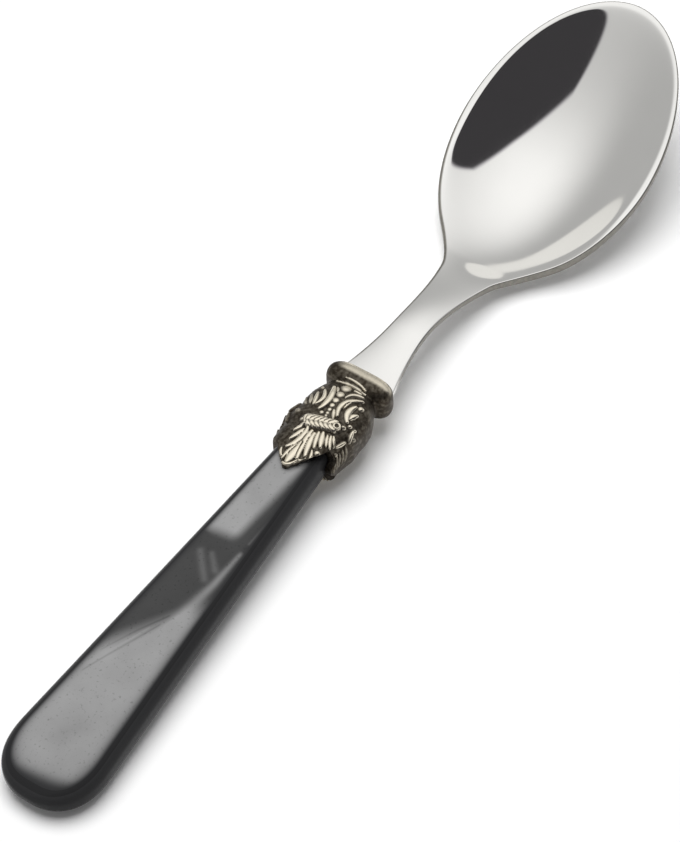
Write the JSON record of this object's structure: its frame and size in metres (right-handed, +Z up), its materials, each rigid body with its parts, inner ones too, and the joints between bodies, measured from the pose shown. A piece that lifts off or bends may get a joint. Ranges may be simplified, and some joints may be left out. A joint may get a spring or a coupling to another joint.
{
  "type": "coffee spoon",
  "caption": "Coffee spoon with an egg-shaped polished steel bowl, a cast ornamental collar and a tapering black pearl resin handle cemented over the tang.",
  "frame": {"origin": "centre of the bounding box's footprint, on the table plane that the spoon rests on", "axes": "+X along the spoon from the butt of the handle to the tip of the bowl, +Y to the left, +Z up out of the bowl's hollow"},
  "size_m": [0.1506, 0.0306, 0.0193],
  "materials": {
    "steel": "mirror-polished stainless steel",
    "antiqued_alloy": "cast alloy, silvered, darkened in the recesses and rubbed bright on the high points",
    "pearl_resin": "black mother-of-pearl acrylic, polished",
    "cement": "cured epoxy cement"
  },
  "bodies": {
    "root": {"bowl_and_tang": "steel", "collar": "antiqued_alloy", "handle": "pearl_resin", "tang_cement": "cement"}
  },
  "joints": []
}
